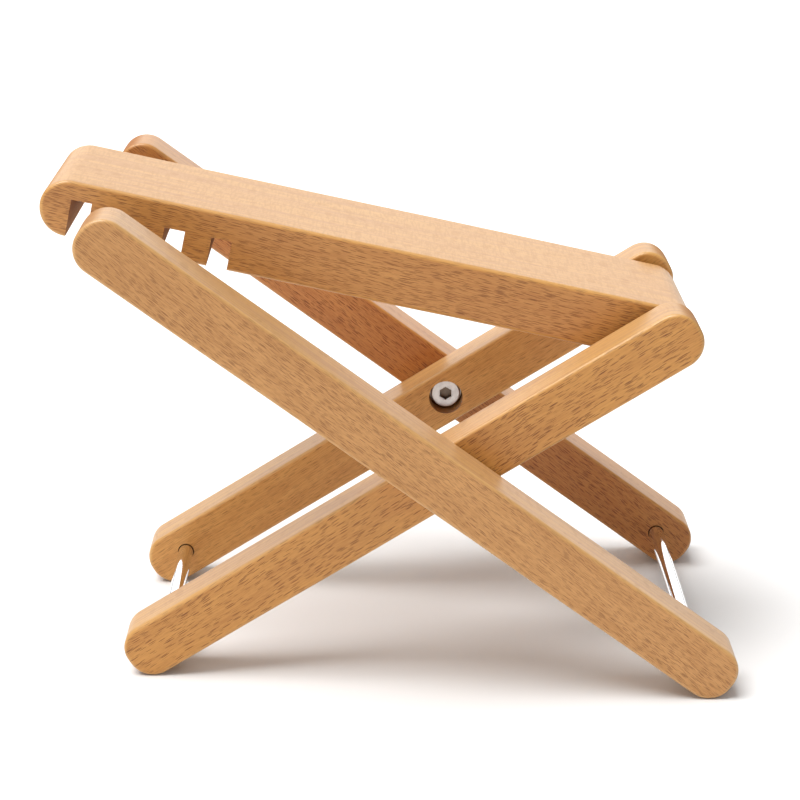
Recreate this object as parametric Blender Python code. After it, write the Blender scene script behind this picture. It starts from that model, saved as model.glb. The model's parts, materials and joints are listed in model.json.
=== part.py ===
"""Folding wooden foot rest, at rest on its four feet with the tread hooked on the second notch.

Two long outer legs and two shorter inner legs cross at a bolted pivot on each side. The tread board
turns on a rod between the tops of the inner legs, and its underside has four notches, one of which
hangs on a rod between the tops of the outer legs. A rod at each pair of feet keeps the legs apart.

X runs along the stand, Y across it and Z up. The origin is on the floor, under the middle of the box.
"""

import math

import bmesh
import bpy
from mathutils import Vector

MM = 0.001

# Legs: bars with rounded ends. A reach runs from the pivot to the end of the bar.
LEG_WIDTH = 22.0 * MM
OUTER_LEG_THICKNESS = 22.0 * MM
INNER_LEG_THICKNESS = 19.0 * MM
LEG_END_RADIUS = 10.2 * MM
LEG_EDGE_RADIUS = 1.5 * MM
OUTER_TOP_REACH = 170.5 * MM
OUTER_FOOT_REACH = 134.8 * MM
INNER_TOP_REACH = 110.2 * MM
INNER_FOOT_REACH = 150.4 * MM
OUTER_SLOPE = math.radians(36.5)
LEG_GAP = 1.0 * MM

# Tread board: as thick as the legs are wide, with full-round ends.
TREAD_THICKNESS = 22.0 * MM
TREAD_WIDTH = 70.0 * MM
TREAD_SIDE_GAP = 3.6 * MM
TREAD_EDGE_RADIUS = 1.6 * MM
TREAD_BEYOND_HINGE = 15.4 * MM
TREAD_BEFORE_HINGE = 243.6 * MM

# Notches in the underside of the tread, counted from its free end.
NOTCH_COUNT = 4
RESTING_NOTCH = 1
NOTCH_PITCH = 18.35 * MM
NOTCH_WIDTH = 8.0 * MM
NOTCH_DEPTH = 11.8 * MM
HOOK_NOTCH_DEPTH = 15.0 * MM
NOTCH_OFFSET = 0.4 * MM

# Rods, each in blind holes in the inner faces of its pair of legs.
ROD_RADIUS = 3.2 * MM
ROD_CHAMFER = 0.5 * MM
ROD_HOLE_RADIUS = 3.5 * MM
ROD_HOLE_DEPTH = 12.0 * MM
ROD_END_GAP = 0.5 * MM
NOTCH_ROD_REACH = 155.0 * MM
OUTER_FOOT_ROD_REACH = 118.0 * MM
INNER_FOOT_ROD_REACH = 133.4 * MM
HINGE_REACH = 94.5 * MM

# Pivot: a socket bolt sunk in each inner leg, turning in it and screwed into an insert in the outer leg.
COUNTERBORE_RADIUS = 7.2 * MM
COUNTERBORE_DEPTH = 10.1 * MM
HEAD_RADIUS = 6.25 * MM
HEAD_HEIGHT = 3.2 * MM
HEAD_CHAMFER = 0.6 * MM
SOCKET_WIDTH = 5.0 * MM
SOCKET_DEPTH = 2.8 * MM
SHANK_RADIUS = 3.0 * MM
SHANK_CHAMFER = 0.6 * MM
SHANK_LENGTH = 22.0 * MM
SHANK_BORE_RADIUS = 3.3 * MM
BUSH_RADIUS = 4.2 * MM
HEAD_WASHER_RADIUS = 6.8 * MM
HEAD_WASHER_THICKNESS = 0.9 * MM
SPACER_RADIUS = 8.5 * MM
SPACER_THICKNESS = 0.6 * MM
INSERT_RADIUS = 5.0 * MM
INSERT_LENGTH = 13.0 * MM
INSERT_RIDGE = 0.5 * MM
INSERT_RIDGES = 4

# Gaps between pieces, and how finely the shapes are cut
FIT_GAP = 0.3 * MM
REST_GAP = 0.1 * MM
OVERCUT = 2.0 * MM
SAME_POINT = 0.001 * MM
ROUND_SEGMENTS = 32
END_SEGMENTS = 8
EASE_SEGMENTS = 3
EASE_ANGLE = math.radians(60)
SHARP_ANGLE = math.radians(35)
SOCKET_TURN = math.radians(30)

# Derived sizes
HALF_LEG = LEG_WIDTH / 2
HALF_TREAD = TREAD_THICKNESS / 2
INNER_FACE = TREAD_WIDTH / 2 + TREAD_SIDE_GAP
OUTER_FACE = INNER_FACE + INNER_LEG_THICKNESS + LEG_GAP
INNER_LEG_MIDDLE = INNER_FACE + INNER_LEG_THICKNESS / 2
OUTER_LEG_MIDDLE = OUTER_FACE + OUTER_LEG_THICKNESS / 2
CORNER_INSET = HALF_LEG - LEG_END_RADIUS


def foot_drop(reach, slope):
    """Depth of a leg's lowest point below the pivot."""
    corner = reach - LEG_END_RADIUS
    return corner * math.sin(slope) + CORNER_INSET * math.cos(slope) + LEG_END_RADIUS


def slope_for_drop(reach, drop):
    """Slope at which a leg's foot lies that far below the pivot."""
    corner = reach - LEG_END_RADIUS
    arm = math.hypot(corner, CORNER_INSET)
    return math.asin((drop - LEG_END_RADIUS) / arm) - math.atan2(CORNER_INSET, corner)


PIVOT_HEIGHT = foot_drop(OUTER_FOOT_REACH, OUTER_SLOPE)
INNER_SLOPE = slope_for_drop(INNER_FOOT_REACH, PIVOT_HEIGHT)


def on_leg(reach, slope):
    """Point (x, z) from the pivot along a leg that rises to the right at this slope."""
    return Vector((reach * math.cos(slope), reach * math.sin(slope)))


def tread_slope():
    """Fall of the tread to the right, with the notch ceiling resting on the notch rod."""
    to_rod = on_leg(-NOTCH_ROD_REACH, -OUTER_SLOPE) - on_leg(HINGE_REACH, INNER_SLOPE)
    rod_below_middle = HALF_TREAD - NOTCH_DEPTH + REST_GAP + ROD_RADIUS
    return math.atan2(to_rod.y, -to_rod.x) + math.asin(rod_below_middle / to_rod.length)


TREAD_SLOPE = tread_slope()
ROD_TO_HINGE = (on_leg(-NOTCH_ROD_REACH, -OUTER_SLOPE) - on_leg(HINGE_REACH, INNER_SLOPE)).length


def pivot_x():
    """Place of the pivot that centres the whole box on the origin."""
    hook_centre = HALF_TREAD - TREAD_BEFORE_HINGE
    hinge = on_leg(HINGE_REACH, INNER_SLOPE)
    left = hinge.x + hook_centre * math.cos(TREAD_SLOPE) - HALF_TREAD
    corner = OUTER_FOOT_REACH - LEG_END_RADIUS
    right = corner * math.cos(OUTER_SLOPE) + CORNER_INSET * math.sin(OUTER_SLOPE) + LEG_END_RADIUS
    return -(left + right) / 2


PIVOT = (pivot_x(), 0.0, PIVOT_HEIGHT)


def clear_scene():
    for item in list(bpy.data.objects):
        bpy.data.objects.remove(item, do_unlink=True)


def material(name, colour, roughness, metallic=0.0):
    made = bpy.data.materials.new(name)
    made.use_nodes = True
    shader = made.node_tree.nodes["Principled BSDF"]
    shader.inputs["Base Color"].default_value = (*colour, 1.0)
    shader.inputs["Roughness"].default_value = roughness
    shader.inputs["Metallic"].default_value = metallic
    made.diffuse_color = (*colour, 1.0)
    return made


def add_object(name, mesh, finish=None):
    item = bpy.data.objects.new(name, mesh)
    bpy.context.scene.collection.objects.link(item)
    if finish:
        mesh.materials.append(finish)
    return item


def body_frame(name, location):
    """An empty on a joint's axis, which carries the pieces that move together."""
    frame = add_object(name, None)
    frame.empty_display_size = LEG_WIDTH
    frame.location = location
    return frame


def smooth(mesh):
    mesh.shade_smooth()
    mesh.set_sharp_from_angle(angle=SHARP_ANGLE)


def place(item, body, y=0.0, reach=0.0, slope=0.0):
    """Puts an object on its body, at a distance across it and along one of its legs."""
    along = on_leg(reach, slope)
    item.parent = body
    item.location = (along.x, y, along.y)
    return item


def tilt(item, slope):
    """Turns an object so that its own X axis rises at this slope."""
    item.rotation_euler = (0.0, -slope, 0.0)


def face_outwards(item, side):
    """Turns an object made for the rear side round to the front side."""
    if side < 0:
        item.rotation_euler = (0.0, 0.0, math.pi)


def bar_outline(left, right, half_height, end_radius):
    """Outline (x, z) of a bar with rounded ends, counter-clockwise seen from the front."""
    corners = (
        (right - end_radius, half_height - end_radius, 0),
        (left + end_radius, half_height - end_radius, 90),
        (left + end_radius, end_radius - half_height, 180),
        (right - end_radius, end_radius - half_height, 270),
    )
    points = []
    for x, z, start in corners:
        for step in range(END_SEGMENTS + 1):
            angle = math.radians(start + 90 * step / END_SEGMENTS)
            point = Vector((x + end_radius * math.cos(angle), z + end_radius * math.sin(angle)))
            if not points or (point - points[-1]).length > SAME_POINT:
                points.append(point)
    if (points[0] - points[-1]).length < SAME_POINT:
        points.pop()
    return points


def bar_mesh(name, outline, thickness):
    """The outline extruded along Y, centred on Y = 0."""
    build = bmesh.new()
    corners = [build.verts.new((p.x, -thickness / 2, p.y)) for p in outline]
    face = build.faces.new(corners)
    extruded = bmesh.ops.extrude_face_region(build, geom=[face])
    moved = [v for v in extruded["geom"] if isinstance(v, bmesh.types.BMVert)]
    bmesh.ops.translate(build, verts=moved, vec=(0.0, thickness, 0.0))
    bmesh.ops.recalc_face_normals(build, faces=build.faces)
    mesh = bpy.data.meshes.new(name)
    build.to_mesh(mesh)
    build.free()
    return mesh


def turned_mesh(name, profile, segments=ROUND_SEGMENTS):
    """A solid turned about the Y axis from (radius, y) points, ordered from low y to high y."""
    build = bmesh.new()
    rings = []
    for radius, y in profile:
        ring = []
        for step in range(segments):
            angle = 2 * math.pi * step / segments
            ring.append(build.verts.new((radius * math.cos(angle), y, radius * math.sin(angle))))
        rings.append(ring)
    for low, high in zip(rings, rings[1:]):
        for step in range(segments):
            after = (step + 1) % segments
            build.faces.new((low[step], low[after], high[after], high[step]))
    if profile[0] != profile[-1]:
        build.faces.new(rings[0])
        build.faces.new(rings[-1])
    bmesh.ops.remove_doubles(build, verts=build.verts, dist=SAME_POINT)
    bmesh.ops.recalc_face_normals(build, faces=build.faces)
    mesh = bpy.data.meshes.new(name)
    build.to_mesh(mesh)
    build.free()
    return mesh


def rod_mesh(name, length):
    """A cross rod with chamfered ends, centred on Y = 0."""
    half = length / 2
    profile = [
        (ROD_RADIUS - ROD_CHAMFER, -half),
        (ROD_RADIUS, -half + ROD_CHAMFER),
        (ROD_RADIUS, half - ROD_CHAMFER),
        (ROD_RADIUS - ROD_CHAMFER, half),
    ]
    return turned_mesh(name, profile)


def drill_mesh(radius, length):
    """The round cutter of a hole, centred on Y = 0."""
    return turned_mesh("drill", [(radius, -length / 2), (radius, length / 2)])


def ring_mesh(name, inner, outer, thickness):
    """A flat washer or sleeve centred on Y = 0."""
    half = thickness / 2
    profile = [(inner, -half), (outer, -half), (outer, half), (inner, half), (inner, -half)]
    return turned_mesh(name, profile)


def cut(item, cutter_mesh, location=(0.0, 0.0, 0.0), turn=0.0):
    """Cuts a mesh, placed in the object's own coordinates, out of the object."""
    cutter = add_object(f"{item.name}_cutter_{len(item.modifiers)}", cutter_mesh)
    cutter.parent = item
    cutter.location = location
    cutter.rotation_euler = (0.0, turn, 0.0)
    cutter.hide_render = True
    cutter.display_type = "WIRE"
    boolean = item.modifiers.new(cutter.name, "BOOLEAN")
    boolean.operation = "DIFFERENCE"
    boolean.solver = "EXACT"
    boolean.object = cutter


def round_edges(item, radius):
    bevel = item.modifiers.new("Eased edges", "BEVEL")
    bevel.width = radius
    bevel.segments = EASE_SEGMENTS
    bevel.limit_method = "ANGLE"
    bevel.angle_limit = EASE_ANGLE


def blind_hole(item, x, radius, depth, face, towards):
    """A blind hole from the face at y = face, going in along Y in the direction towards (+1 or -1)."""
    middle = face + towards * (depth - OVERCUT) / 2
    cut(item, drill_mesh(radius, depth + OVERCUT), (x, middle, 0.0))


def leg(name, finish, body, left, right, thickness, slope, y, holes):
    """A leg reaching left and right of the pivot, with holes (x, radius, depth) in its inner face."""
    mesh = bar_mesh(name, bar_outline(-left, right, HALF_LEG, LEG_END_RADIUS), thickness)
    item = place(add_object(name, mesh, finish), body, y)
    tilt(item, slope)
    round_edges(item, LEG_EDGE_RADIUS)
    outward = math.copysign(1.0, y)
    for x, radius, depth in holes:
        blind_hole(item, x, radius, depth, -outward * thickness / 2, outward)
    return item


def outer_leg(name, finish, body, side):
    holes = (
        (-NOTCH_ROD_REACH, ROD_HOLE_RADIUS, ROD_HOLE_DEPTH),
        (OUTER_FOOT_ROD_REACH, ROD_HOLE_RADIUS, ROD_HOLE_DEPTH),
        (0.0, INSERT_RADIUS + INSERT_RIDGE + FIT_GAP, INSERT_LENGTH + 2 * FIT_GAP),
    )
    y = side * OUTER_LEG_MIDDLE
    reaches = (OUTER_TOP_REACH, OUTER_FOOT_REACH)
    return leg(name, finish, body, *reaches, OUTER_LEG_THICKNESS, -OUTER_SLOPE, y, holes)


def inner_leg(name, finish, body, side):
    through = INNER_LEG_THICKNESS + OVERCUT
    holes = (
        (-INNER_FOOT_ROD_REACH, ROD_HOLE_RADIUS, ROD_HOLE_DEPTH),
        (HINGE_REACH, ROD_HOLE_RADIUS, ROD_HOLE_DEPTH),
        (0.0, COUNTERBORE_RADIUS, COUNTERBORE_DEPTH),
        (0.0, BUSH_RADIUS + FIT_GAP, through),
    )
    y = side * INNER_LEG_MIDDLE
    reaches = (INNER_FOOT_REACH, INNER_TOP_REACH)
    return leg(name, finish, body, *reaches, INNER_LEG_THICKNESS, INNER_SLOPE, y, holes)


def slot_mesh(middle, width, depth):
    """The cutter of a square notch that goes right across the underside of the tread."""
    low = -HALF_TREAD - OVERCUT
    high = -HALF_TREAD + depth
    left = middle - width / 2
    right = middle + width / 2
    corners = [Vector(corner) for corner in ((left, low), (right, low), (right, high), (left, high))]
    return bar_mesh("notch", corners, TREAD_WIDTH + 2 * OVERCUT)


def tread_board(name, finish, body):
    """The tread, turning about its own origin on the hinge rod, with its free end to the left."""
    outline = bar_outline(-TREAD_BEFORE_HINGE, TREAD_BEYOND_HINGE, HALF_TREAD, HALF_TREAD)
    item = add_object(name, bar_mesh(name, outline, TREAD_WIDTH), finish)
    place(item, body, 0.0, HINGE_REACH, INNER_SLOPE)
    tilt(item, -TREAD_SLOPE)
    round_edges(item, TREAD_EDGE_RADIUS)
    for number in range(NOTCH_COUNT):
        depth = HOOK_NOTCH_DEPTH if number == 0 else NOTCH_DEPTH
        middle = (number - RESTING_NOTCH) * NOTCH_PITCH - ROD_TO_HINGE - NOTCH_OFFSET
        cut(item, slot_mesh(middle, NOTCH_WIDTH, depth))
    cut(item, drill_mesh(ROD_HOLE_RADIUS, TREAD_WIDTH + 2 * OVERCUT))
    return item


def cross_rod(name, finish, body, face, reach, slope):
    """A rod between two legs, ending just short of the bottom of its blind holes."""
    length = 2 * (face + ROD_HOLE_DEPTH - ROD_END_GAP)
    return place(add_object(name, rod_mesh(name, length), finish), body, 0.0, reach, slope)


def hexagon_mesh(width, depth):
    """The cutter of a hexagonal socket, centred on Y = 0."""
    corner = width / math.sqrt(3)
    return turned_mesh("socket", [(corner, -depth), (corner, depth)], segments=6)


def pivot_bolt(name, finish, body, side):
    """A flat-headed socket bolt: the head faces the middle of the stand, the shank points outwards."""
    end = HEAD_HEIGHT + SHANK_LENGTH
    profile = [
        (HEAD_RADIUS - HEAD_CHAMFER, 0.0),
        (HEAD_RADIUS, HEAD_CHAMFER),
        (HEAD_RADIUS, HEAD_HEIGHT),
        (SHANK_RADIUS, HEAD_HEIGHT),
        (SHANK_RADIUS, end - SHANK_CHAMFER),
        (SHANK_RADIUS - SHANK_CHAMFER, end),
    ]
    washer = HEAD_WASHER_THICKNESS + 2 * REST_GAP
    head_face = INNER_FACE + COUNTERBORE_DEPTH - washer - HEAD_HEIGHT
    item = place(add_object(name, turned_mesh(name, profile), finish), body, side * head_face)
    face_outwards(item, side)
    cut(item, hexagon_mesh(SOCKET_WIDTH, SOCKET_DEPTH), turn=SOCKET_TURN)
    return item


def threaded_insert(name, finish, body, side):
    """A sleeve with raised rings that grip the wood of the outer leg."""
    pitch = INSERT_LENGTH / INSERT_RIDGES
    profile = [(SHANK_BORE_RADIUS, 0.0)]
    for number in range(INSERT_RIDGES):
        start = number * pitch
        profile += [(INSERT_RADIUS, start), (INSERT_RADIUS + INSERT_RIDGE, start + pitch / 2)]
    profile += [
        (INSERT_RADIUS, INSERT_LENGTH),
        (SHANK_BORE_RADIUS, INSERT_LENGTH),
        (SHANK_BORE_RADIUS, 0.0),
    ]
    item = place(add_object(name, turned_mesh(name, profile), finish), body, side * (OUTER_FACE + FIT_GAP))
    face_outwards(item, side)
    return item


def pivot_bush(name, finish, body, side):
    """A sleeve in the inner leg, from the counterbore's floor to just short of the outer face."""
    length = INNER_LEG_THICKNESS - COUNTERBORE_DEPTH - FIT_GAP
    middle = INNER_FACE + COUNTERBORE_DEPTH + REST_GAP + length / 2
    mesh = ring_mesh(name, SHANK_BORE_RADIUS, BUSH_RADIUS, length)
    return place(add_object(name, mesh, finish), body, side * middle)


def head_washer(name, finish, body, side):
    """A washer between the bolt head and the counterbore's floor."""
    middle = INNER_FACE + COUNTERBORE_DEPTH - REST_GAP - HEAD_WASHER_THICKNESS / 2
    mesh = ring_mesh(name, SHANK_BORE_RADIUS, HEAD_WASHER_RADIUS, HEAD_WASHER_THICKNESS)
    return place(add_object(name, mesh, finish), body, side * middle)


def leg_spacer(name, finish, body, side):
    """A thin washer between the inner and the outer leg."""
    middle = OUTER_FACE - LEG_GAP / 2
    mesh = ring_mesh(name, SHANK_BORE_RADIUS, SPACER_RADIUS, SPACER_THICKNESS)
    return place(add_object(name, mesh, finish), body, side * middle)


def build():
    clear_scene()
    beech = material("beech", (0.62, 0.36, 0.17), 0.5)
    chrome = material("chrome", (0.85, 0.85, 0.86), 0.08, 1.0)
    steel = material("satin_steel", (0.66, 0.65, 0.64), 0.35, 1.0)
    brass = material("brass", (0.72, 0.53, 0.25), 0.35, 1.0)
    nylon = material("nylon", (0.86, 0.84, 0.78), 0.5)
    outer_frame = body_frame("outer_frame", PIVOT)
    inner_frame = body_frame("inner_frame", PIVOT)
    for end, side in (("front", -1.0), ("rear", 1.0)):
        outer_leg(f"outer_leg_{end}", beech, outer_frame, side)
        threaded_insert(f"threaded_insert_{end}", brass, outer_frame, side)
        pivot_bolt(f"pivot_bolt_{end}", steel, outer_frame, side)
        leg_spacer(f"leg_spacer_{end}", nylon, outer_frame, side)
        inner_leg(f"inner_leg_{end}", beech, inner_frame, side)
        pivot_bush(f"pivot_bush_{end}", brass, inner_frame, side)
        head_washer(f"head_washer_{end}", steel, inner_frame, side)
    cross_rod("notch_rod", chrome, outer_frame, OUTER_FACE, -NOTCH_ROD_REACH, -OUTER_SLOPE)
    cross_rod("outer_foot_rod", chrome, outer_frame, OUTER_FACE, OUTER_FOOT_ROD_REACH, -OUTER_SLOPE)
    cross_rod("inner_foot_rod", chrome, inner_frame, INNER_FACE, -INNER_FOOT_ROD_REACH, INNER_SLOPE)
    cross_rod("tread_hinge_rod", chrome, inner_frame, INNER_FACE, HINGE_REACH, INNER_SLOPE)
    tread_board("tread_board", beech, inner_frame)
    for item in bpy.data.objects:
        if item.type == "MESH":
            smooth(item.data)


build()
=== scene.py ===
"""Looks of the folding beech foot rest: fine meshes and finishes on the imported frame, and a studio.

Every wooden bar is rebuilt in its own coordinates, X along the grain, Y across the stand and Z up from
the bar's middle, and its grain is laid out in the same directions. Lengths are in metres, as in the
frame, except in the materials, whose coordinates are in millimetres.
"""

import json
import math
import random

import bmesh
import bpy
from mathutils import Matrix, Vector


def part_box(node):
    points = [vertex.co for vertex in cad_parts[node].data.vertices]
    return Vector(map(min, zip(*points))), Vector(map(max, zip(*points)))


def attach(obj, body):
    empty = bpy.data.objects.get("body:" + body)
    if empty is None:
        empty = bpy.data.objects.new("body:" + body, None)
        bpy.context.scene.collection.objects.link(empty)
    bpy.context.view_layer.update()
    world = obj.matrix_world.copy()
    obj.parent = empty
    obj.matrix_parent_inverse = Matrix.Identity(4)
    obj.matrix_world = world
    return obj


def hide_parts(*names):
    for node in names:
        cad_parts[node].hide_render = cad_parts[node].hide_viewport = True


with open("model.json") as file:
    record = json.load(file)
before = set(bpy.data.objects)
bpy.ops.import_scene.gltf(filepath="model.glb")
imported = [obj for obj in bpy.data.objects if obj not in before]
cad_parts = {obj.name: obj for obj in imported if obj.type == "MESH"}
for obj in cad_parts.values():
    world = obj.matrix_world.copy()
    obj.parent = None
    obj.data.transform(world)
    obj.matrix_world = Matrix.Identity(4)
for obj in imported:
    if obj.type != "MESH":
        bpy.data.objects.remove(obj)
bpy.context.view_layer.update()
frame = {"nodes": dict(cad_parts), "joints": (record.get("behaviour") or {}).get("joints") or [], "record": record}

MM = 0.001
NODES = frame["nodes"]
JOINT_AT = {joint["name"]: Vector(joint["pos_m"]) for joint in frame["joints"]}
PIVOT = JOINT_AT["frame_fold"]
HINGE = JOINT_AT["tread_lift"]

# Wood: sizes that the CAD has too
LEG_END_RADIUS = 10.2 * MM
LEG_EDGE_RADIUS = 1.5 * MM
TREAD_EDGE_RADIUS = 1.6 * MM
ROD_HOLE_RADIUS = 3.5 * MM
ROD_HOLE_DEPTH = 12.0 * MM
COUNTERBORE_RADIUS = 7.2 * MM
COUNTERBORE_DEPTH = 10.1 * MM
BUSH_HOLE_RADIUS = 4.5 * MM
INSERT_HOLE_RADIUS = 5.8 * MM
INSERT_HOLE_DEPTH = 13.6 * MM
NOTCH_PITCH = 18.35 * MM
NOTCH_WIDTH = 8.0 * MM
NOTCH_DEPTHS = (15.0 * MM, 11.8 * MM, 11.8 * MM, 11.8 * MM)  # from the free end
NOTCH_OFFSET = 0.4 * MM
RESTING_NOTCH = 1  # the one over the notch rod

# Metal: sizes that the CAD has too
HEAD_RADIUS = 6.25 * MM
HEAD_HEIGHT = 3.2 * MM
SHANK_RADIUS = 3.0 * MM
SOCKET_WIDTH = 5.0 * MM
SOCKET_DEPTH = 2.8 * MM

# Fine shape
TREAD_END_RADIUS = math.inf  # as round as the board's thickness allows
EDGE_WOBBLE = 0.32
WOBBLE_WAVES = 7
ROD_CHAMFER = 0.5 * MM
HEAD_EDGE = 0.55 * MM
SOCKET_CHAMFER = 0.12 * MM
OVERCUT = 2.0 * MM
SAME_POINT = 0.0001 * MM

# Fineness of the meshes
ARC_STEPS = 18
EDGE_STEPS = 6
STRAIGHT_STEP = 5.0 * MM
TURN_STEPS = 96
DRILL_STEPS = 64
MOUTH_STEPS = 48
SHARP_ANGLE = math.radians(35)

# Grain: size of each feature in millimetres, along the bar, across the stand and up
SWAY_SIZE = (90.0, 26.0, 26.0)
SWAY_REACH = (0.0, 7.0, 7.0)
TONE_SIZE = (70.0, 11.0, 9.0)
FIBRE_SIZE = (5.0, 0.16, 0.16)
STREAK_SIZE = (42.0, 0.9, 2.6)
STRAND_SIZE = (16.0, 0.5, 0.42)
LINE_SIZE = (70.0, 1.5, 30.0)
FLECK_SIZE = (0.9, 7.0, 2.0)
GRAIN_STEP = (61.0, 17.0, 29.0)  # how far on in the wood the next seed starts
RAY_SCATTER = 0.82
FINE_RAY_SCALE = 0.66
FINE_RAY_SHIFT = (7.3, 3.1, 9.7)

# Tints: what a colour of the same finish is multiplied by
RING_TINT = (0.80, 0.72, 0.84)
RAY_TINT = (0.36, 0.24, 0.18)
FLECK_TINT = (0.78, 0.70, 0.62)
SAWN_TINT = (0.66, 0.58, 0.55)
# The tint for the eased edges makes a painted highlight
EDGE_HIGHLIGHT_TINT = (1.10, 1.12, 1.12)

# How much of its own colour each kind of surface takes
TOP_SHARE = 0.80
SAWN_SHARE = 0.62
# The share on the eased edges is that of a painted highlight
EDGE_HIGHLIGHT_SHARE = 0.45
RAYS_ON_TOP = 0.14

# Finishes: (seed of the grain, seed of the edges), size of a ray as above, tilt of the grain in degrees
# and share of crosswise flecks on the tops. The rear leg of a pair takes the next seeds.
OUTER_SEEDS = (3, 10)
INNER_SEEDS = (8, 40)
TREAD_SEEDS = (13, 90)
OUTER_RAY = (5.2, 12.0, 0.33)
INNER_RAY = (5.6, 13.0, 0.38)
TREAD_RAY = (6.2, 12.0, 0.39)
OUTER_TILT = -3.0
INNER_TILT = 2.0
TREAD_TILT = -2.0
LEG_FLECKS = 0.15
TREAD_FLECKS = 0.70

# Colours of the sides, of their darker fibres, and of the tops: of the front leg, then the rear one
OUTER_COLOURS = (
    ((0.610, 0.308, 0.100), (0.450, 0.202, 0.054), (0.595, 0.355, 0.142)),
    # The rear outer leg's colours are darker and redder than the front's: painted shade
    ((0.590, 0.250, 0.060), (0.430, 0.150, 0.030), (0.540, 0.275, 0.085)),
)
INNER_COLOURS = (
    ((0.620, 0.293, 0.062), (0.460, 0.190, 0.036), (0.550, 0.320, 0.115)),
    # The rear inner leg's side and fibre colours are lighter than the front's: painted light
    ((0.690, 0.345, 0.084), (0.520, 0.225, 0.047), (0.550, 0.320, 0.115)),
)
TREAD_COLOURS = ((0.605, 0.285, 0.072), (0.455, 0.185, 0.040), (0.590, 0.328, 0.104))

# Studio
FLOOR_RADIUS = 14.0
FLOOR_DROP = 0.2 * MM
FLOOR_STEPS = 96
WORLD_LIGHT = 0.34
KEY_FROM = (-0.35, -0.08, 1.0)
KEY_SPREAD = 45.0
KEY_STRENGTH = 4.0
# Softboxes: place, target, width, height and radiance
BACKDROP = ((0.0, 2.0, 0.85), (0.0, 0.0, 0.2), 3.4, 1.3, 1.25)
FRONT_BOX = ((-0.9, -1.5, 0.6), (0.0, 0.0, 0.1), 1.1, 1.1, 1.1)
CAMERA_AT = (-0.00168, -0.85611, 0.374578)
CAMERA_DOWN = 18.0
CAMERA_YAW = -0.36
CAMERA_LENS = 98.9
CAMERA_SENSOR = 36.0


# ---------------------------------------------------------------- meshes


def mesh_from(build, name):
    bmesh.ops.recalc_face_normals(build, faces=build.faces)
    mesh = bpy.data.meshes.new(name)
    build.to_mesh(mesh)
    build.free()
    return mesh


def add_object(name, data, location=(0.0, 0.0, 0.0), turn=(0.0, 0.0, 0.0)):
    item = bpy.data.objects.new(name, data)
    item.location = location
    item.rotation_euler = turn
    bpy.context.scene.collection.objects.link(item)
    return item


def add_straight(points, end, normal):
    """Adds the points between the last point and end, at even steps, but not end itself."""
    start = points[-1][0].copy()
    gap = end - start
    pieces = max(1, round(gap.length / STRAIGHT_STEP))
    for piece in range(1, pieces):
        points.append((start + gap * piece / pieces, normal))


def bar_outline(left, right, half_height, radius):
    """Points and outward normals (x, z) round a bar with rounded corners, counter-clockwise."""
    corners = (
        (right - radius, half_height - radius, 0),
        (left + radius, half_height - radius, 90),
        (left + radius, radius - half_height, 180),
        (right - radius, radius - half_height, 270),
    )
    points = []
    for x, z, start in corners:
        for step in range(ARC_STEPS + 1):
            angle = math.radians(start + 90 * step / ARC_STEPS)
            normal = Vector((math.cos(angle), math.sin(angle)))
            point = Vector((x, z)) + radius * normal
            if points and (point - points[-1][0]).length < SAME_POINT:
                continue
            if points and step == 0:
                add_straight(points, point, normal)
            points.append((point, normal))
    if (points[0][0] - points[-1][0]).length < SAME_POINT:
        points.pop()
    add_straight(points, *points[0])
    return points


def eased_radii(count, radius, seed):
    """Edge radius at each outline point: hand sanding leaves it a little uneven."""
    draw = random.Random(seed)
    waves = [
        (draw.uniform(2, 14), draw.uniform(0, 6.28), draw.uniform(0.3, 1.0))
        for _ in range(WOBBLE_WAVES)
    ]
    weight = sum(size for _, _, size in waves)
    radii = []
    for index in range(count):
        turn = 2 * math.pi * index / count
        wave = sum(size * math.sin(round(rate) * turn + phase) for rate, phase, size in waves)
        radii.append(radius * (1 + EDGE_WOBBLE * wave / weight))
    return radii


def join_rings(build, rings):
    """Faces between each ring of vertices and the next one, and across both ends."""
    count = len(rings[0])
    for low, high in zip(rings, rings[1:]):
        for index in range(count):
            after = (index + 1) % count
            build.faces.new((low[index], low[after], high[after], high[index]))
    build.faces.new(rings[0])
    build.faces.new(rings[-1])


def bar_mesh(name, outline, thickness, edge_radius, seed):
    """The outline as a bar across Y, with eased edges round both faces."""
    build = bmesh.new()
    half = thickness / 2
    rings = []
    for side in (-1, 1):
        radii = eased_radii(len(outline), edge_radius, seed + side)
        steps = range(EDGE_STEPS, -1, -1) if side < 0 else range(EDGE_STEPS + 1)
        for step in steps:
            angle = math.pi / 2 * step / EDGE_STEPS
            ring = []
            for (point, normal), radius in zip(outline, radii):
                inset = point - normal * radius * (1 - math.cos(angle))
                y = side * (half - radius * (1 - math.sin(angle)))
                ring.append(build.verts.new((inset.x, y, inset.y)))
            rings.append(ring)
    join_rings(build, rings)
    return mesh_from(build, name)


def turned_mesh(name, profile, steps=TURN_STEPS):
    """A solid turned about the Y axis from (radius, y) points, closed by a disc at each end."""
    build = bmesh.new()
    angles = [2 * math.pi * step / steps for step in range(steps)]
    rings = [
        [build.verts.new((radius * math.cos(a), y, radius * math.sin(a))) for a in angles]
        for radius, y in profile
    ]
    join_rings(build, rings)
    return mesh_from(build, name)


def block_mesh(left, right, low, high, width):
    build = bmesh.new()
    bmesh.ops.create_cube(build, size=1.0)
    for vert in build.verts:
        vert.co.x = left if vert.co.x < 0 else right
        vert.co.y *= width
        vert.co.z = low if vert.co.z < 0 else high
    return mesh_from(build, "block")


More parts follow.
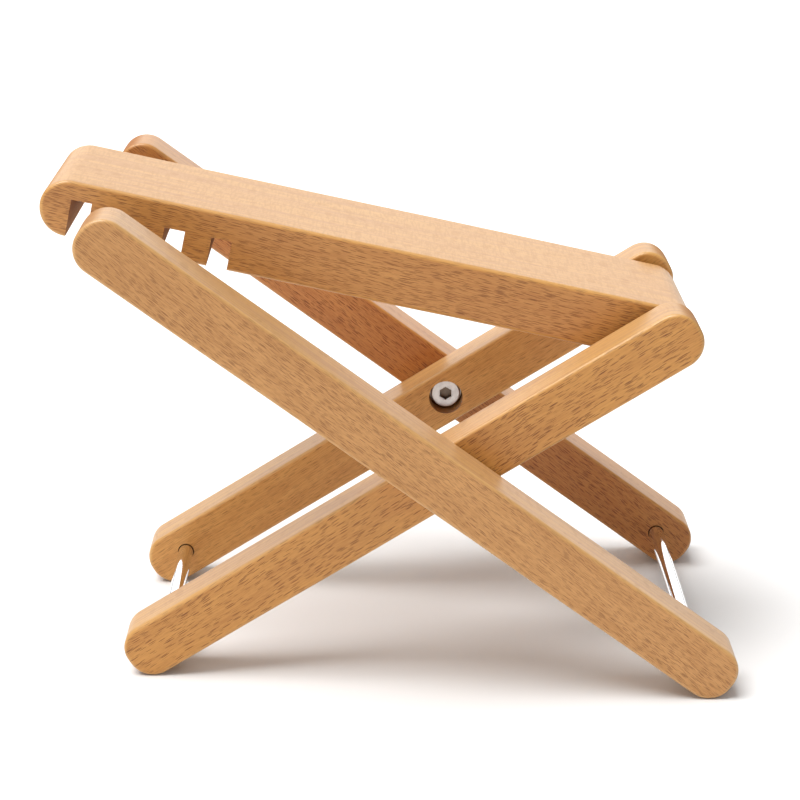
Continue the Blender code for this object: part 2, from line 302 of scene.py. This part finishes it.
def cut(item, mesh, location=(0.0, 0.0, 0.0), turn=(0.0, 0.0, 0.0)):
    """Cuts a mesh, given in the object's own coordinates, out of the object for good."""
    for material in item.data.materials:
        mesh.materials.append(material)
    tool = add_object("tool", mesh, location, turn)
    tool.parent = item
    boolean = item.modifiers.new("cut", "BOOLEAN")
    boolean.operation = "DIFFERENCE"
    boolean.solver = "EXACT"
    boolean.object = tool
    bpy.context.view_layer.update()
    graph = bpy.context.evaluated_depsgraph_get()
    item.data = bpy.data.meshes.new_from_object(item.evaluated_get(graph))
    item.modifiers.clear()
    bpy.data.objects.remove(tool)


def settle(item):
    """Leaves the turn in the mesh, so that the object keeps the axes of the frame."""
    item.data.transform(item.rotation_euler.to_matrix().to_4x4())
    item.rotation_euler = (0.0, 0.0, 0.0)


def shade(item):
    """Smooth shading with crisp cuts, and flat faces that stay flat up to their eased edges."""
    item.data.shade_smooth()
    item.data.set_sharp_from_angle(angle=SHARP_ANGLE)
    weighted = item.modifiers.new("Weighted normals", "WEIGHTED_NORMAL")
    weighted.weight = 100
    weighted.keep_sharp = True


# ---------------------------------------------------------------- materials


def tinted(colour, tint):
    return tuple(part * share for part, share in zip(colour, tint))


class Graph:
    """A material's nodes, each fed by numbers or by other nodes' outputs."""

    def __init__(self, name):
        self.material = bpy.data.materials.new(name)
        self.material.use_nodes = True
        self.tree = self.material.node_tree
        self.shader = self.tree.nodes["Principled BSDF"]

    def feed(self, socket, value):
        if isinstance(value, bpy.types.NodeSocket):
            self.tree.links.new(value, socket)
        else:
            socket.default_value = value

    def feed_all(self, node, values):
        """Feeds the node's inputs by name, with _ for each space."""
        for name, value in values.items():
            self.feed(node.inputs[name.replace("_", " ")], value)
        return node

    def finish(self, **values):
        self.feed_all(self.shader, values)
        return self.material

    def node(self, kind, **values):
        return self.feed_all(self.tree.nodes.new(f"ShaderNode{kind}"), values)

    def operate(self, kind, operation, values):
        node = self.node(kind)
        node.operation = operation
        for socket, value in zip(node.inputs, values):
            self.feed(socket, value)
        return node.outputs

    def maths(self, operation, *values):
        return self.operate("Math", operation, values)[0]

    def vector(self, operation, *values):
        return self.operate("VectorMath", operation, values)[0]

    def dot(self, first, second):
        return self.operate("VectorMath", "DOT_PRODUCT", (first, second))["Value"]

    def coordinates(self, output):
        return self.node("TexCoord").outputs[output]

    def millimetres(self):
        """The object's own coordinates in millimetres."""
        place = self.vector("SCALE", self.coordinates("Object"))
        place.node.inputs["Scale"].default_value = 1 / MM
        return place

    def split(self, value):
        return self.node("SeparateXYZ", Vector=value).outputs

    def noise(self, at, grain, detail=2.0, output="Fac"):
        """Noise whose features are about grain = (x, y, z) long in the units of at."""
        place = self.vector("DIVIDE", at, grain)
        return self.node("TexNoise", Vector=place, Scale=1.0, Detail=detail).outputs[output]

    def cells(self, at, size):
        """Distance to, and random colour of, the nearest of scattered points one to each cell."""
        place = self.vector("DIVIDE", at, size)
        node = self.node("TexVoronoi", Vector=place, Scale=1.0, Randomness=RAY_SCATTER)
        return node.outputs["Distance"], self.split(node.outputs["Color"])

    def spread(self, value, start, end, low=0.0, high=1.0, smooth=True):
        """Value going from start to end gives low to high, and no further."""
        node = self.node(
            "MapRange", Value=value, From_Min=start, From_Max=end, To_Min=low, To_Max=high
        )
        node.interpolation_type = "SMOOTHSTEP" if smooth else "LINEAR"
        return node.outputs[0]

    def mix(self, factor, first, second):
        """Goes from the first colour to the second as the factor goes from 0 to 1."""
        node = self.node("Mix")
        node.data_type = "RGBA"
        self.feed(node.inputs[0], factor)
        for socket, value in ((node.inputs[6], first), (node.inputs[7], second)):
            self.feed(socket, value if isinstance(value, bpy.types.NodeSocket) else (*value, 1.0))
        return node.outputs[2]

    def bump(self, height, strength, distance):
        return self.node("Bump", Strength=strength, Distance=distance, Height=height).outputs[0]


def rays(g, grain, size, smallest, largest):
    """Medullary rays: thin spindles along the grain, which run a long way in across it."""
    distance, random_parts = g.cells(grain, size)
    reach = g.spread(random_parts[0], 0.0, 1.0, smallest, largest, smooth=False)
    body = g.spread(distance, reach, g.maths("MULTIPLY", reach, 0.62))
    depth = g.spread(random_parts[1], 0.0, 1.0, 0.30, 1.0, smooth=False)
    return g.maths("MULTIPLY", body, depth)


def beech(name, seed, slope, colours, ray_size, tilt, flecks):
    """Oiled beech with its grain along a bar at that slope and its rays showing on the sides."""
    g = Graph(name)
    light, dark, top = colours

    # Coordinates: straight along the bar, then swaying a little
    straight = g.node(
        "Mapping",
        Vector=g.coordinates("Object"),
        Location=tuple(seed * part for part in GRAIN_STEP),
        Rotation=(0.0, slope + math.radians(tilt), 0.0),
        Scale=(1 / MM, 1 / MM, 1 / MM),
    ).outputs[0]
    sway = g.noise(straight, SWAY_SIZE, 2.0, "Color")
    sway = g.vector("MULTIPLY", g.vector("SUBTRACT", sway, (0.5, 0.5, 0.5)), SWAY_REACH)
    grain = g.vector("ADD", straight, sway)

    # Kinds of surface: on_top is 1 wherever the bar doesn't face Y, so underneath and at the ends too,
    # sawn on walls across the grain, and edge halfway round the eased edges
    normal = g.coordinates("Normal")
    facing_y = g.maths("ABSOLUTE", g.dot(normal, (0.0, 1.0, 0.0)))
    facing_x = g.maths("ABSOLUTE", g.dot(normal, (math.cos(slope), 0.0, math.sin(slope))))
    on_top = g.spread(facing_y, 0.85, 0.25)
    sawn = g.spread(facing_x, 0.60, 0.97)
    edge = g.maths("SQRT", g.maths("SUBTRACT", 1.0, g.maths("MULTIPLY", facing_y, facing_y)))
    edge = g.maths("MULTIPLY", g.maths("MULTIPLY", facing_y, edge), 2.0)

    # Fibres, from broad tone down to single ones
    tone = g.noise(grain, TONE_SIZE, 2.0)
    streak = g.noise(grain, STREAK_SIZE, 3.0)
    strand = g.noise(grain, STRAND_SIZE, 2.0)
    fibre = g.noise(grain, FIBRE_SIZE, 3.0)
    shadowed = g.maths("MULTIPLY", streak, 0.34)
    shadowed = g.maths("MULTIPLY_ADD", g.spread(tone, 0.3, 0.7), 0.34, shadowed)
    shadowed = g.maths("MULTIPLY_ADD", g.spread(strand, 0.36, 0.64), 0.46, shadowed)
    shadowed = g.maths("MULTIPLY_ADD", g.spread(fibre, 0.3, 0.7), 0.12, shadowed)
    colour = g.mix(shadowed, light, dark)
    colour = g.mix(g.maths("MULTIPLY", on_top, TOP_SHARE), colour, top)

    # Growth rings, which show on the tops as lines along the bar
    across = g.split(grain)[1]
    ring = g.maths("MULTIPLY_ADD", tone, 9.0, g.maths("MULTIPLY", across, 3.1))
    ring = g.maths("POWER", g.maths("MULTIPLY_ADD", g.maths("SINE", ring), 0.5, 0.5), 2.2)
    lines = g.spread(g.noise(grain, LINE_SIZE, 2.0), 0.42, 0.60, 0.0, 0.75)
    rings = g.maths("MULTIPLY", g.maths("MULTIPLY_ADD", ring, 0.25, lines), on_top)
    colour = g.mix(rings, colour, tinted(top, RING_TINT))

    # Rays of two sizes, which show on the sides
    fine_size = tuple(FINE_RAY_SCALE * part for part in ray_size)
    coarse_rays = rays(g, grain, ray_size, 0.30, 0.50)
    fine_rays = rays(g, g.vector("ADD", grain, FINE_RAY_SHIFT), fine_size, 0.18, 0.42)
    ray = g.maths("MULTIPLY_ADD", fine_rays, 0.40, g.maths("MULTIPLY", coarse_rays, 0.95))
    ray = g.maths("MULTIPLY", ray, g.spread(on_top, 0.0, 1.0, 1.0, RAYS_ON_TOP))
    ray = g.maths("MINIMUM", ray, 0.92)
    colour = g.mix(ray, colour, tinted(dark, RAY_TINT))

    # Crosswise flecks on the tops, sawn ends, and a painted highlight along the eased edges
    fleck = g.spread(g.noise(grain, FLECK_SIZE, 2.0), 0.44, 0.62)
    fleck = g.maths("MULTIPLY", fleck, g.maths("MULTIPLY", on_top, flecks))
    colour = g.mix(fleck, colour, tinted(top, FLECK_TINT))
    colour = g.mix(g.maths("MULTIPLY", sawn, SAWN_SHARE), colour, tinted(dark, SAWN_TINT))
    # Painted highlight: the eased edges are lightened towards a pale top colour
    colour = g.mix(g.maths("MULTIPLY", edge, EDGE_HIGHLIGHT_SHARE), colour, tinted(top, EDGE_HIGHLIGHT_TINT))

    # The sawn ends are rough and unpolished, or they would look white at a low angle
    roughness = g.maths("MULTIPLY_ADD", fibre, 0.12, g.maths("MULTIPLY_ADD", ray, 0.22, 0.36))
    roughness = g.maths("MULTIPLY_ADD", edge, -0.06, roughness)
    roughness = g.maths("MULTIPLY_ADD", sawn, 0.45, roughness)
    height = g.maths("SUBTRACT", g.maths("MULTIPLY", fibre, 0.5), ray)
    return g.finish(
        Base_Color=colour,
        Roughness=roughness,
        Normal=g.bump(height, 0.35, 0.08 * MM),
        Coat_Weight=g.spread(sawn, 0.0, 1.0, 0.12, 0.0),
        Coat_Roughness=0.22,
    )


def polished_chrome():
    """Chromed round bar with faint drawing lines along it and a few dull smears."""
    g = Graph("polished_chrome")
    place = g.millimetres()
    lines = g.noise(place, (0.10, 14.0, 0.10), 2.0)
    smear = g.spread(g.noise(place, (5.0, 9.0, 5.0), 3.0), 0.45, 0.75)
    roughness = g.maths("MULTIPLY_ADD", smear, 0.10, g.maths("MULTIPLY", lines, 0.09))
    return g.finish(
        Base_Color=(0.88, 0.88, 0.89, 1.0),
        Metallic=1.0,
        Roughness=roughness,
        Normal=g.bump(lines, 0.12, 0.01 * MM),
    )


def satin_steel():
    """Turned and satin-plated steel: fine rings round the Y axis, small spots, and darker inside the socket."""
    g = Graph("satin_steel")
    place = g.millimetres()
    x, y, z = g.split(place)
    radius = g.maths("SQRT", g.maths("ADD", g.maths("MULTIPLY", x, x), g.maths("MULTIPLY", z, z)))
    rings = g.maths("MULTIPLY_ADD", g.maths("SINE", g.maths("MULTIPLY", radius, 42.0)), 0.5, 0.5)
    spots = g.noise(place, (0.5, 0.5, 0.5), 4.0)
    worn = g.spread(g.noise(place, (2.5, 2.5, 2.5), 3.0), 0.35, 0.7)
    colour = g.mix(worn, (0.71, 0.68, 0.66), (0.60, 0.565, 0.545))
    # Darker and rougher inside the hex socket
    socket = g.maths("MULTIPLY", g.spread(radius, 3.1, 2.95), g.spread(y, 0.15, 0.9))
    colour = g.mix(g.maths("MULTIPLY", socket, 0.85), colour, (0.22, 0.16, 0.11))
    roughness = g.maths("MULTIPLY_ADD", spots, 0.22, g.maths("MULTIPLY_ADD", rings, 0.05, 0.20))
    roughness = g.maths("MULTIPLY_ADD", socket, 0.22, roughness)
    height = g.maths("MULTIPLY_ADD", rings, 0.5, g.maths("MULTIPLY", spots, 0.6))
    return g.finish(
        Base_Color=colour,
        Metallic=1.0,
        Roughness=roughness,
        Normal=g.bump(height, 0.25, 0.015 * MM),
    )


def turned_brass():
    g = Graph("turned_brass")
    lines = g.noise(g.millimetres(), (3.0, 0.12, 3.0), 3.0)
    return g.finish(
        Base_Color=g.mix(g.spread(lines, 0.3, 0.7), (0.78, 0.60, 0.31), (0.62, 0.44, 0.19)),
        Metallic=1.0,
        Roughness=g.maths("MULTIPLY_ADD", lines, 0.25, 0.18),
        Normal=g.bump(lines, 0.3, 0.02 * MM),
    )


def moulded_nylon():
    g = Graph("moulded_nylon")
    grit = g.noise(g.millimetres(), (0.25, 0.25, 0.25), 3.0)
    return g.finish(
        Base_Color=g.mix(g.spread(grit, 0.3, 0.7), (0.86, 0.84, 0.78), (0.80, 0.77, 0.70)),
        Roughness=g.maths("MULTIPLY_ADD", grit, 0.25, 0.40),
        Normal=g.bump(grit, 0.3, 0.03 * MM),
    )


def pale_floor():
    """A nearly white floor, mottled over about a third of a metre."""
    g = Graph("pale_floor")
    mottle = g.noise(g.coordinates("Object"), (0.35, 0.35, 0.35), 3.0)
    return g.finish(
        Base_Color=g.mix(mottle, (0.84, 0.84, 0.835), (0.81, 0.81, 0.808)), Roughness=0.75
    )


# ---------------------------------------------------------------- wooden pieces


def middle_of(node):
    low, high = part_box(node)
    return (low + high) / 2


def slope_between(start, end):
    """Angle in the XZ plane of the line from start to end."""
    return math.atan2(end.z - start.z, end.x - start.x)


def reach_of(node, origin, slope):
    """How far a CAD node reaches left, right and up from origin along a slope, and its thickness."""
    x_axis = Vector((math.cos(slope), 0.0, math.sin(slope)))
    z_axis = Vector((-math.sin(slope), 0.0, math.cos(slope)))
    corners = [vert.co - origin for vert in NODES[node].data.vertices]
    along = [corner @ x_axis for corner in corners]
    low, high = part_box(node)
    return min(along), max(along), max(corner @ z_axis for corner in corners), high.y - low.y


def replace(item, node, body, finish):
    """Gives an object its finish, and puts it in the CAD node's place on that body."""
    item.data.materials.append(finish)
    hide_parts(node)
    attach(item, body)


def bar(node, body, finish, origin, slope, radius, edge_radius, seed):
    """A fine copy of one wooden bar, in its own coordinates, which replaces the CAD node."""
    left, right, half_height, thickness = reach_of(node, origin, slope)
    outline = bar_outline(left, right, half_height, min(radius, half_height))
    mesh = bar_mesh(node, outline, thickness, edge_radius, seed)
    location = Vector((origin.x, middle_of(node).y, origin.z))
    item = add_object(f"{node}_wood", mesh, location, (0.0, -slope, 0.0))
    replace(item, node, body, finish)
    return item


def hole(item, x, radius, depth, face, inward):
    """A blind hole from the face at y = face, going the way that inward (+1 or -1) points."""
    half = (depth + OVERCUT) / 2
    middle = face + inward * (depth - OVERCUT) / 2
    drill = turned_mesh("drill", [(radius, -half), (radius, half)], DRILL_STEPS)
    cut(item, drill, (x, middle, 0.0))


def along_leg(point, slope):
    return (point - PIVOT) @ Vector((math.cos(slope), 0.0, math.sin(slope)))


def leg(end, side, kind, body, slope, rods, seed, finish):
    """One leg with the blind holes of its rods, and its pivot hole, in the inner face."""
    node = f"{kind}_leg_{end}"
    item = bar(node, body, finish, PIVOT, slope, LEG_END_RADIUS, LEG_EDGE_RADIUS, seed)
    low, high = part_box(node)
    thickness = high.y - low.y
    face = -side * thickness / 2
    for rod_node in rods:
        x = along_leg(middle_of(rod_node), slope)
        hole(item, x, ROD_HOLE_RADIUS, ROD_HOLE_DEPTH, face, side)
    if kind == "outer":
        hole(item, 0.0, INSERT_HOLE_RADIUS, INSERT_HOLE_DEPTH, face, side)
    else:
        hole(item, 0.0, COUNTERBORE_RADIUS, COUNTERBORE_DEPTH, face, side)
        hole(item, 0.0, BUSH_HOLE_RADIUS, thickness + OVERCUT, face, side)
    settle(item)
    shade(item)


def tread(slope, finish):
    """The tread board with its row of square notches and the bore of its hinge."""
    node = "tread_board"
    seed = TREAD_SEEDS[1]
    item = bar(node, "tread", finish, HINGE, slope, TREAD_END_RADIUS, TREAD_EDGE_RADIUS, seed)
    half_height, thickness = reach_of(node, HINGE, slope)[2:]
    rod_distance = (middle_of("notch_rod") - HINGE).length
    for number, depth in enumerate(NOTCH_DEPTHS):
        x = (number - RESTING_NOTCH) * NOTCH_PITCH - rod_distance - NOTCH_OFFSET
        slot = block_mesh(
            x - NOTCH_WIDTH / 2,
            x + NOTCH_WIDTH / 2,
            -half_height - OVERCUT,
            depth - half_height,
            thickness + 2 * OVERCUT,
        )
        cut(item, slot)
    end = thickness / 2 + OVERCUT
    cut(item, turned_mesh("bore", [(ROD_HOLE_RADIUS, -end), (ROD_HOLE_RADIUS, end)], DRILL_STEPS))
    settle(item)
    shade(item)


# ---------------------------------------------------------------- metal pieces


def rounded(radius, y, corner, outward):
    """Points of a rounded corner at (radius, y), in order of rising y.

    Outward is +1 where the corner ends a solid at its high end, and -1 at its low end.
    """
    points = []
    for step in range(EDGE_STEPS + 1):
        angle = math.pi / 2 * step / EDGE_STEPS
        if outward < 0:
            angle = math.pi / 2 - angle
        inset = corner * (1 - math.cos(angle))
        drop = outward * corner * (1 - math.sin(angle))
        points.append((radius - inset, y - drop))
    return points


def rod(node, body, finish):
    low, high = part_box(node)
    radius = (high.z - low.z) / 2
    half = (high.y - low.y) / 2
    profile = rounded(radius, -half, ROD_CHAMFER, -1) + rounded(radius, half, ROD_CHAMFER, 1)
    item = add_object(f"{node}_bar", turned_mesh(node, profile), middle_of(node))
    replace(item, node, body, finish)
    shade(item)


def bolt(end, side, finish):
    """A flat socket bolt: rounded head, hexagon socket with an eased mouth, plain shank."""
    node = f"pivot_bolt_{end}"
    low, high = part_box(node)
    profile = rounded(HEAD_RADIUS, 0.0, HEAD_EDGE, -1)
    profile += [(HEAD_RADIUS, HEAD_HEIGHT), (SHANK_RADIUS, HEAD_HEIGHT)]
    profile += rounded(SHANK_RADIUS, high.y - low.y, ROD_CHAMFER, 1)
    start = low.y if side > 0 else high.y
    turn = (0.0, 0.0, 0.0) if side > 0 else (0.0, 0.0, math.pi)
    item = add_object(f"{node}_steel", turned_mesh(node, profile), (PIVOT.x, start, PIVOT.z), turn)
    corner = SOCKET_WIDTH / math.sqrt(3)
    hexagon = turned_mesh("socket", [(corner, -SOCKET_DEPTH), (corner, SOCKET_DEPTH)], 6)
    cut(item, hexagon, turn=(0.0, math.radians(30), 0.0))
    mouth = [(corner + SOCKET_CHAMFER * 2, -SOCKET_CHAMFER), (corner, SOCKET_CHAMFER)]
    cut(item, turned_mesh("mouth", mouth, MOUTH_STEPS))
    replace(item, node, "outer_frame", finish)
    shade(item)


def finish_node(node, finish):
    materials = NODES[node].data.materials
    materials.clear()
    materials.append(finish)


# ---------------------------------------------------------------- the object

outer_slope = slope_between(middle_of("notch_rod"), middle_of("outer_foot_rod"))
inner_slope = slope_between(PIVOT, HINGE)
tread_slope = -math.asin(frame["record"]["mounts"][0]["axis"][0])  # from the normal of its top

outer_rods = ("notch_rod", "outer_foot_rod")
inner_rods = ("inner_foot_rod", "tread_hinge_rod")
steel = satin_steel()
chrome = polished_chrome()
brass = turned_brass()
nylon = moulded_nylon()

for number, (end, side) in enumerate((("front", -1.0), ("rear", 1.0))):
    outer_grain, outer_edges = (seed + number for seed in OUTER_SEEDS)
    inner_grain, inner_edges = (seed + number for seed in INNER_SEEDS)
    outer_finish = beech(
        f"beech_outer_{end}",
        outer_grain,
        outer_slope,
        OUTER_COLOURS[number],
        OUTER_RAY,
        OUTER_TILT,
        LEG_FLECKS,
    )
    inner_finish = beech(
        f"beech_inner_{end}",
        inner_grain,
        inner_slope,
        INNER_COLOURS[number],
        INNER_RAY,
        INNER_TILT,
        LEG_FLECKS,
    )
    leg(end, side, "outer", "outer_frame", outer_slope, outer_rods, outer_edges, outer_finish)
    leg(end, side, "inner", "inner_frame", inner_slope, inner_rods, inner_edges, inner_finish)
    bolt(end, side, steel)
    finish_node(f"head_washer_{end}", steel)
    finish_node(f"threaded_insert_{end}", brass)
    finish_node(f"pivot_bush_{end}", brass)
    finish_node(f"leg_spacer_{end}", nylon)
tread_finish = beech(
    "beech_tread",
    TREAD_SEEDS[0],
    tread_slope,
    TREAD_COLOURS,
    TREAD_RAY,
    TREAD_TILT,
    TREAD_FLECKS,
)
tread(tread_slope, tread_finish)
for rod_name in outer_rods:
    rod(rod_name, "outer_frame", chrome)
for rod_name in inner_rods:
    rod(rod_name, "inner_frame", chrome)


# ---------------------------------------------------------------- studio


def turn_from(direction):
    """Turn of a light that shines from that direction, given as (x, y, z) towards the light."""
    return Vector(direction).to_track_quat("Z", "Y").to_euler()


def add_floor():
    build = bmesh.new()
    bmesh.ops.create_circle(build, cap_ends=True, segments=FLOOR_STEPS, radius=FLOOR_RADIUS)
    floor = add_object("floor", mesh_from(build, "floor"), (0.0, 0.0, -FLOOR_DROP))
    floor.data.materials.append(pale_floor())


def add_sun(name, direction, spread, strength):
    """A soft distant light from a direction given as (x, y, z) towards it."""
    light = bpy.data.lights.new(name, "SUN")
    light.angle = math.radians(spread)
    light.energy = strength
    add_object(name, light, turn=turn_from(direction))


def add_softbox(name, location, target, width, height, radiance):
    """A rectangular light of an even radiance, facing a target."""
    light = bpy.data.lights.new(name, "AREA")
    light.shape = "RECTANGLE"
    light.size = width
    light.size_y = height
    light.energy = math.pi * width * height * radiance
    add_object(name, light, location, turn_from(Vector(location) - Vector(target)))


def add_world():
    world = bpy.data.worlds.new("studio")
    world.use_nodes = True
    background = world.node_tree.nodes["Background"]
    background.inputs["Color"].default_value = (1.0, 1.0, 1.0, 1.0)
    background.inputs["Strength"].default_value = WORLD_LIGHT
    bpy.context.scene.world = world


def add_camera():
    """Looks down on the front from just left of the middle, with a long lens."""
    data = bpy.data.cameras.new("camera")
    data.sensor_width = CAMERA_SENSOR
    data.lens = CAMERA_LENS
    turn = (math.radians(90.0 - CAMERA_DOWN), 0.0, math.radians(CAMERA_YAW))
    bpy.context.scene.camera = add_object("camera", data, CAMERA_AT, turn)


add_floor()
add_world()
add_sun("key", KEY_FROM, KEY_SPREAD, KEY_STRENGTH)
add_softbox("backdrop", *BACKDROP)
add_softbox("front", *FRONT_BOX)
add_camera()
bpy.context.scene.view_settings.view_transform = "Standard"
